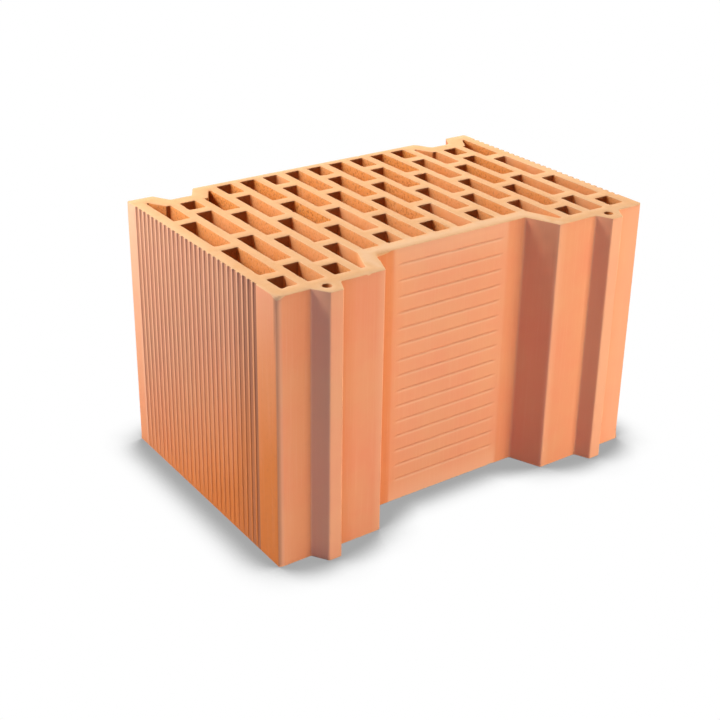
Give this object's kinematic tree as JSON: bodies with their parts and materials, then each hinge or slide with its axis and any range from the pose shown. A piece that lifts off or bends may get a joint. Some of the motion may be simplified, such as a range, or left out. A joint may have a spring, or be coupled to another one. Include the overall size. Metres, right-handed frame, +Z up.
{
  "type": "hollow clay block",
  "caption": "Extruded fired-clay wall block with staggered vertical slots, ribbed plaster faces, a mortar pocket and tongue-and-groove head faces.",
  "frame": {"origin": "centre of the bounding box on the bottom bed face", "axes": "+X across the wall, between the two ribbed plaster faces; -Y towards the head face with the tongues and the mortar pocket; +Z up, along the slots"},
  "size_m": [0.38, 0.264, 0.238],
  "materials": {
    "fired_clay": "matte, fine grained, extruded and wire cut"
  },
  "bodies": {
    "root": {"clay_block": "fired_clay"}
  },
  "joints": []
}
